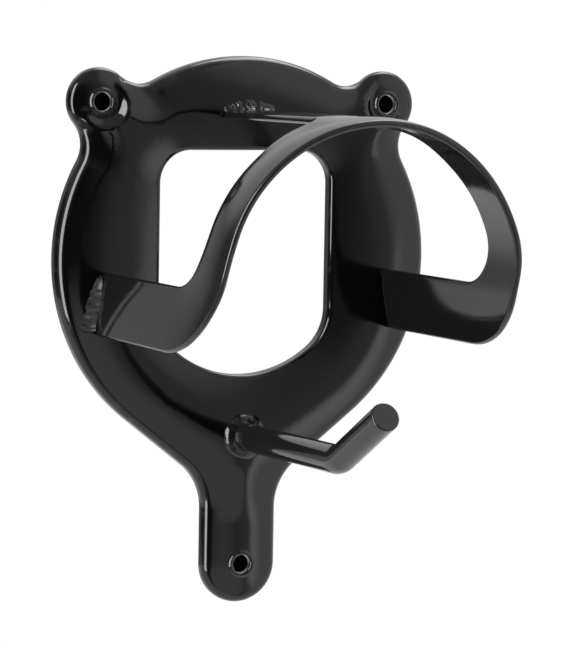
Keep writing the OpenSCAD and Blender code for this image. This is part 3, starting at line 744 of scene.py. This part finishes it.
# Camera: a long lens to the left of the rack and a little above it, turned very slightly, as in the
# photograph.
azimuth, elevation, roll = math.radians(-25.0), math.radians(5.009), math.radians(0.989)
distance, sensor_mm, focal_px, photo_h_px = 1.337726, 36.0, 3076.0, 648.0
looks_at = Vector((0.021491, wall_back * mm, -0.095825))
back = Vector((math.sin(azimuth) * math.cos(elevation), -math.cos(azimuth) * math.cos(elevation),
               math.sin(elevation)))
level = (-back).cross(Vector((0, 0, 1))).normalized()
upright = level.cross(-back)
right = level * math.cos(roll) + upright * math.sin(roll)
over = upright * math.cos(roll) - level * math.sin(roll)
lens = bpy.data.cameras.new("camera")
lens.sensor_width, lens.lens = sensor_mm, focal_px / photo_h_px * sensor_mm
lens.clip_start, lens.clip_end = 0.05, 50.0
camera = bpy.data.objects.new("camera", lens)
camera.matrix_world = Matrix.Translation(looks_at + back * distance) @ Matrix(
    [[right[i], over[i], back[i]] for i in range(3)]).to_4x4()
bpy.context.collection.objects.link(camera)
bpy.context.scene.camera = camera
bpy.context.scene.view_settings.view_transform = "Standard"


# Studio: a pale floor below the rack and a white room behind it and to its right, which is dim round the
# camera and at the back left. A tall soft lamp stands to the left of the rack, and a small one hangs
# high at the back right.
def stage_sheet(name, points, paint):
    """A flat sheet that isn't part of the rack."""
    sheet = bpy.data.objects.new(name, bpy.data.meshes.new(name))
    sheet.data.from_pydata(points, [], [tuple(range(len(points)))])
    sheet.data.materials.append(paint)
    bpy.context.collection.objects.link(sheet)
    return sheet


def white_to_view(tree):
    """Share of rays that see the plain white background."""
    path = wire(tree, "ShaderNodeLightPath")
    seen = wire(tree, "ShaderNodeMath", {0: path.outputs["Is Camera Ray"],
                                         1: path.outputs["Is Glossy Ray"]}, operation="MAXIMUM")
    return wire(tree, "ShaderNodeMath", {0: seen.outputs[0], 1: path.outputs["Is Transmission Ray"]},
                operation="MAXIMUM").outputs[0]


floor_half, floor_front, floor_back, floor_z = 0.8, -0.12, 0.62, -0.34
floor_paint = bpy.data.materials.new("floor_paint")
floor_paint.use_nodes = True
tree = floor_paint.node_tree
tree.nodes.clear()
pale = wire(tree, "ShaderNodeBsdfDiffuse", {"Color": (0.8, 0.8, 0.8, 1.0)})
white = wire(tree, "ShaderNodeEmission", {"Color": (1.0, 1.0, 1.0, 1.0), "Strength": 1.0})
mixed = wire(tree, "ShaderNodeMixShader", {0: white_to_view(tree), 1: pale.outputs[0], 2: white.outputs[0]})
out = wire(tree, "ShaderNodeOutputMaterial")
tree.links.new(mixed.outputs[0], out.inputs["Surface"])
stage_sheet("floor", [(-floor_half, floor_front, floor_z), (floor_half, floor_front, floor_z),
                      (floor_half, floor_back, floor_z), (-floor_half, floor_back, floor_z)], floor_paint)

# Painted shade: the wall shows only through the screw holes, as discs painted near black to stand for the
# plate's shadow; they are clear from behind and hidden from diffuse, glossy and shadow rays
shade_paint = bpy.data.materials.new("shade_paint")
shade_paint.use_nodes = True
tree = shade_paint.node_tree
tree.nodes.clear()
# Near-black colour of the painted shade behind the holes
dark = wire(tree, "ShaderNodeBsdfDiffuse", {"Color": (0.012, 0.012, 0.012, 1.0)})
clear = wire(tree, "ShaderNodeBsdfTransparent")
geometry = wire(tree, "ShaderNodeNewGeometry")
mixed = wire(tree, "ShaderNodeMixShader", {0: geometry.outputs["Backfacing"], 1: dark.outputs[0],
                                           2: clear.outputs[0]})
out = wire(tree, "ShaderNodeOutputMaterial")
tree.links.new(mixed.outputs[0], out.inputs["Surface"])
shade_r = 11.0
for hole in holes:
    border = [(x * mm, wall_back * mm, z * mm) for x, z in hole + ring * shade_r]
    shade = stage_sheet("wall_shade", border, shade_paint)
    shade.visible_diffuse = shade.visible_glossy = shade.visible_shadow = False

world = bpy.data.worlds.new("studio")
bpy.context.scene.world = world
world.use_nodes = True
tree = world.node_tree
tree.nodes.clear()
path = wire(tree, "ShaderNodeLightPath")
facing = wire(tree, "ShaderNodeTexCoord").outputs["Generated"]


def toward(turned, raised):
    """Cosine between each ray and a side of the room, given in degrees."""
    a, e = math.radians(turned), math.radians(raised)
    side = math.sin(a) * math.cos(e), -math.cos(a) * math.cos(e), math.sin(e)
    return wire(tree, "ShaderNodeVectorMath", {0: facing, 1: side}, operation="DOT_PRODUCT").outputs["Value"]


def fade(value, start, stop, low, high):
    """A level that eases from low to high while the value goes from start to stop."""
    sockets = {"Value": value, "From Min": start, "From Max": stop, "To Min": low, "To Max": high}
    return wire(tree, "ShaderNodeMapRange", sockets, interpolation_type="SMOOTHSTEP").outputs["Result"]


def combine(operation, *values):
    return wire(tree, "ShaderNodeMath", dict(enumerate(values)), operation=operation).outputs[0]


# The room is dark round the camera, with panels before the rack and to its right, and dimmed at the back
# left, where the right arm mirrors it
camera_side = fade(toward(-15.0, -5.0), 0.74, 0.96, 0.45, 0.05)
front_panel = combine("MAXIMUM", fade(toward(8.0, -28.0), 0.9, 0.97, 0.0, 0.8),
                      fade(toward(46.0, -14.0), 0.95, 0.98, 0.0, 1.8))
right_panel = fade(toward(60.0, 25.0), 0.7, 0.86, 0.0, 1.0)
side_level = combine("MAXIMUM", right_panel, fade(toward(125.0, 0.0), -0.02, 0.02, 0.0, 0.7))
room_level = combine("MAXIMUM", combine("MAXIMUM", camera_side, front_panel), side_level)
back_left = combine("MULTIPLY", fade(toward(-150.0, 0.0), 0.3, 0.7, 0.0, 1.0),
                    fade(toward(0.0, 90.0), -0.42, -0.14, 0.0, 0.75))
back_left = combine("MULTIPLY", back_left, fade(toward(0.0, 90.0), 0.25, 0.45, 1.0, 0.0))
kept = combine("SUBTRACT", 1.0, back_left)
behind_rack = combine("MULTIPLY", fade(toward(125.0, 0.0), -0.02, 0.14, 0.0, 1.0), kept)
in_gloss = combine("MAXIMUM", path.outputs["Is Glossy Ray"], path.outputs["Is Transmission Ray"])
seen = combine("MAXIMUM", path.outputs["Is Camera Ray"], combine("MULTIPLY", in_gloss, behind_rack))
room = wire(tree, "ShaderNodeBackground", {"Color": (1.0, 1.0, 1.0, 1.0),
                                           "Strength": combine("MULTIPLY", room_level, kept)})
white = wire(tree, "ShaderNodeBackground", {"Color": (1.0, 1.0, 1.0, 1.0), "Strength": 1.0})
mixed = wire(tree, "ShaderNodeMixShader", {0: seen, 1: room.outputs[0], 2: white.outputs[0]})
out = wire(tree, "ShaderNodeOutputWorld")
tree.links.new(mixed.outputs[0], out.inputs["Surface"])

for name, turned, raised, away, size, power in (
        ("left_lamp", -62.5, 9.0, 1.6, (0.71, 2.1), 39.6),
        ("top_lamp", 120.0, 62.0, 1.4, (0.8, 0.8), 9.0)):
    a, e = math.radians(turned), math.radians(raised)
    place = looks_at + away * Vector((math.sin(a) * math.cos(e), -math.cos(a) * math.cos(e), math.sin(e)))
    glow = bpy.data.lights.new(name, "AREA")
    glow.shape, glow.size, glow.size_y, glow.energy = "RECTANGLE", size[0], size[1], power
    lamp = bpy.data.objects.new(name, glow)
    lamp.location = place
    lamp.rotation_euler = (looks_at - place).to_track_quat("-Z", "Y").to_euler()
    bpy.context.collection.objects.link(lamp)
